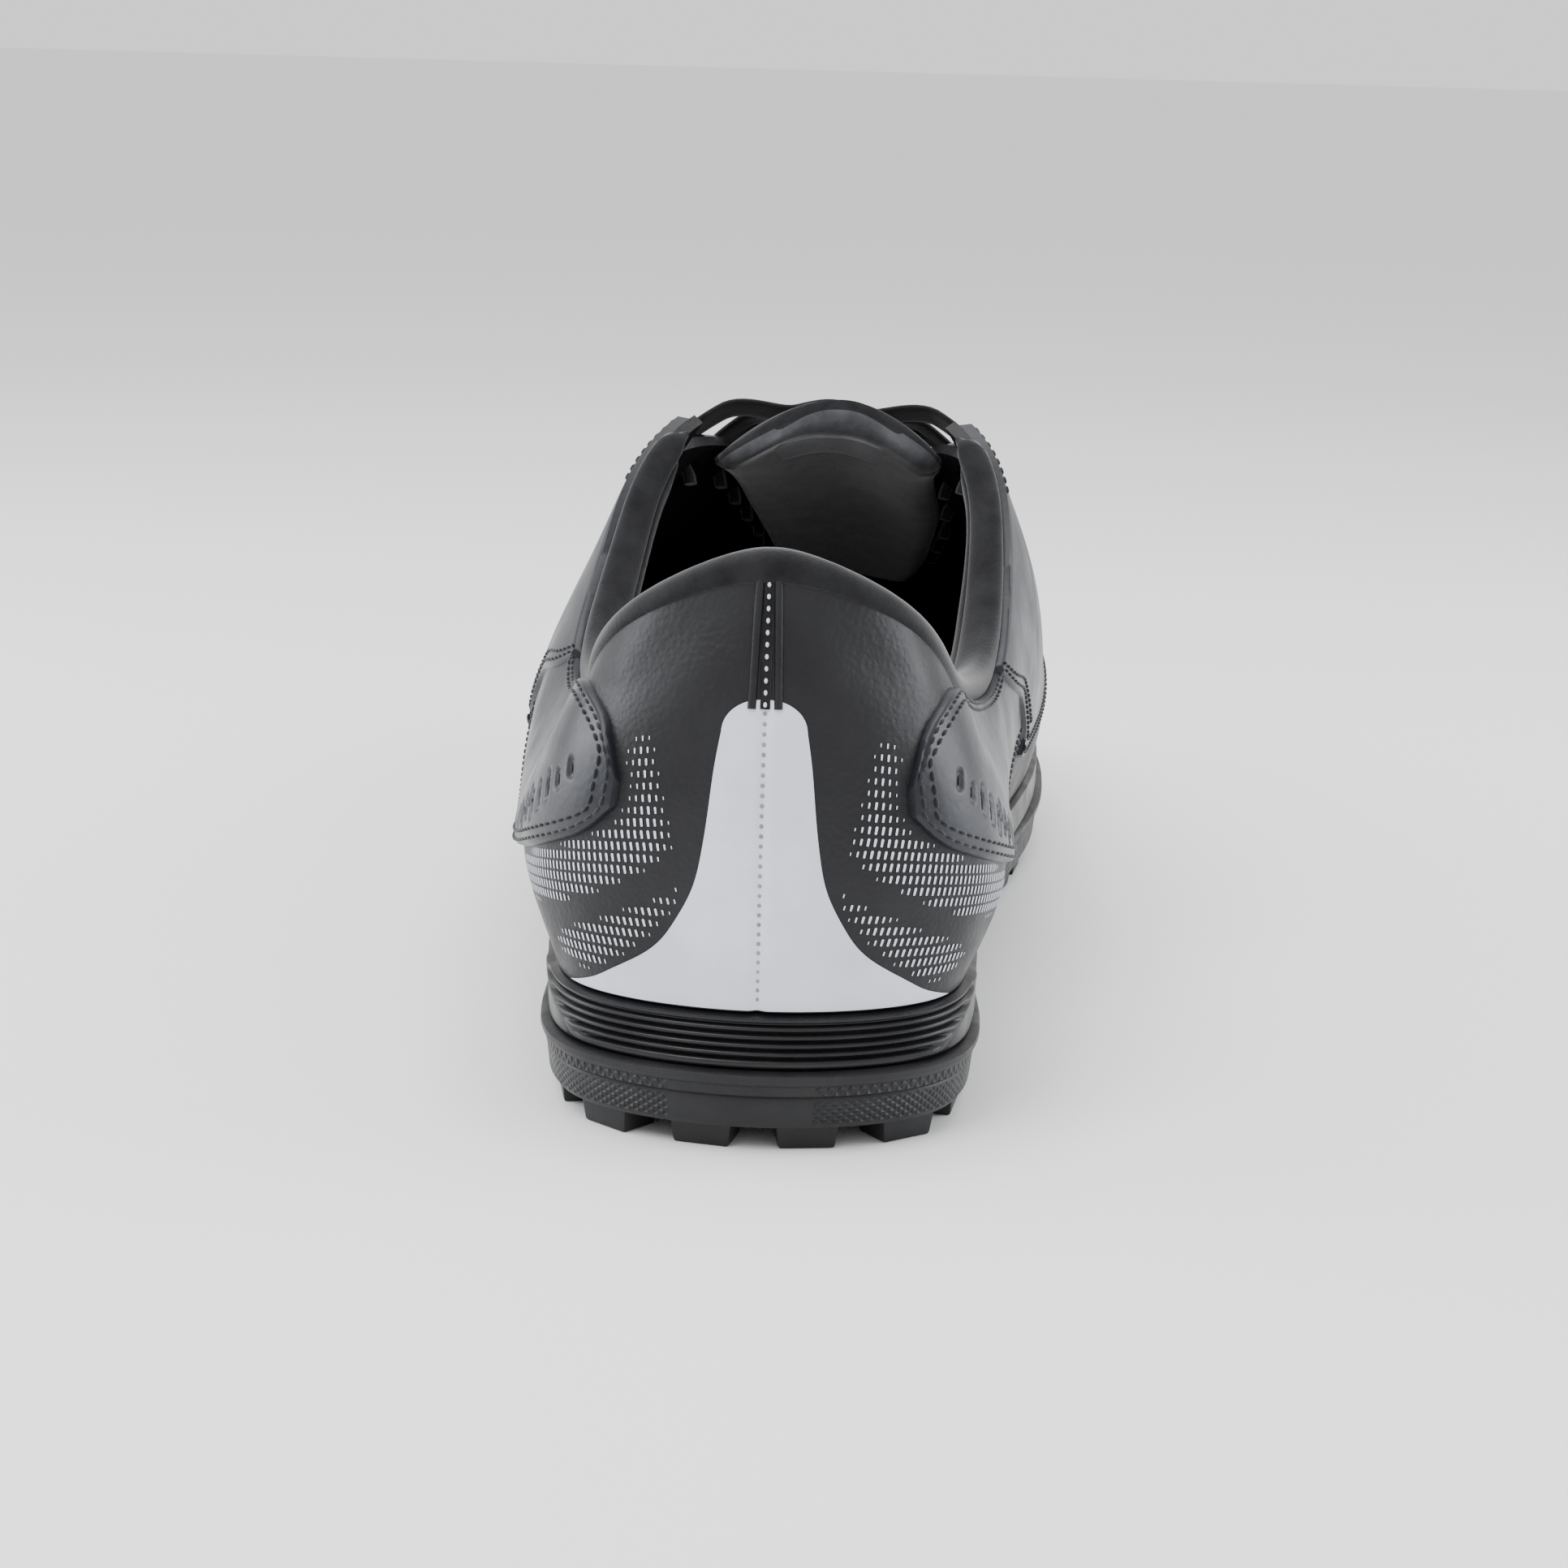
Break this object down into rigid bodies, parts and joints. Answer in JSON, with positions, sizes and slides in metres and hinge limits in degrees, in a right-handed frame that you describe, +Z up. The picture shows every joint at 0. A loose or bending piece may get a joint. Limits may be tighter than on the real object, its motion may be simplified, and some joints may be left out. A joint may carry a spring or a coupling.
{
  "type": "turf shoe",
  "caption": "Left low-cut turf shoe: hollow upper with lace opening, padded collar and tongue, ribbed midsole and lugged rubber outsole.",
  "frame": {"origin": "middle of the outsole's plan, on the floor", "axes": "+Y towards the toe, +X towards the inner side of the foot, +Z up"},
  "size_m": [0.1006, 0.2844, 0.0971],
  "materials": {
    "outsole_rubber": "satin black rubber with a fine diamond texture",
    "midsole_foam": "smooth satin black moulded foam with ribs",
    "upper_leather": "black synthetic leather, fine pebble grain",
    "quarter_leather": "black coated leather, smoother, with a cool sheen",
    "lining_knit": "black knitted mesh",
    "insole_fabric": "dark brushed fabric",
    "tongue_fabric": "dark grey brushed fabric",
    "lace_cord": "black woven flat lace",
    "print_white": "thin matt white print"
  },
  "bodies": {
    "root": {"outsole": "outsole_rubber", "midsole": "midsole_foam", "upper": "upper_leather", "quarter_lateral": "quarter_leather", "quarter_medial": "quarter_leather", "collar_lining": "lining_knit", "insole": "insole_fabric", "tongue": "tongue_fabric", "laces": "lace_cord"}
  },
  "joints": []
}
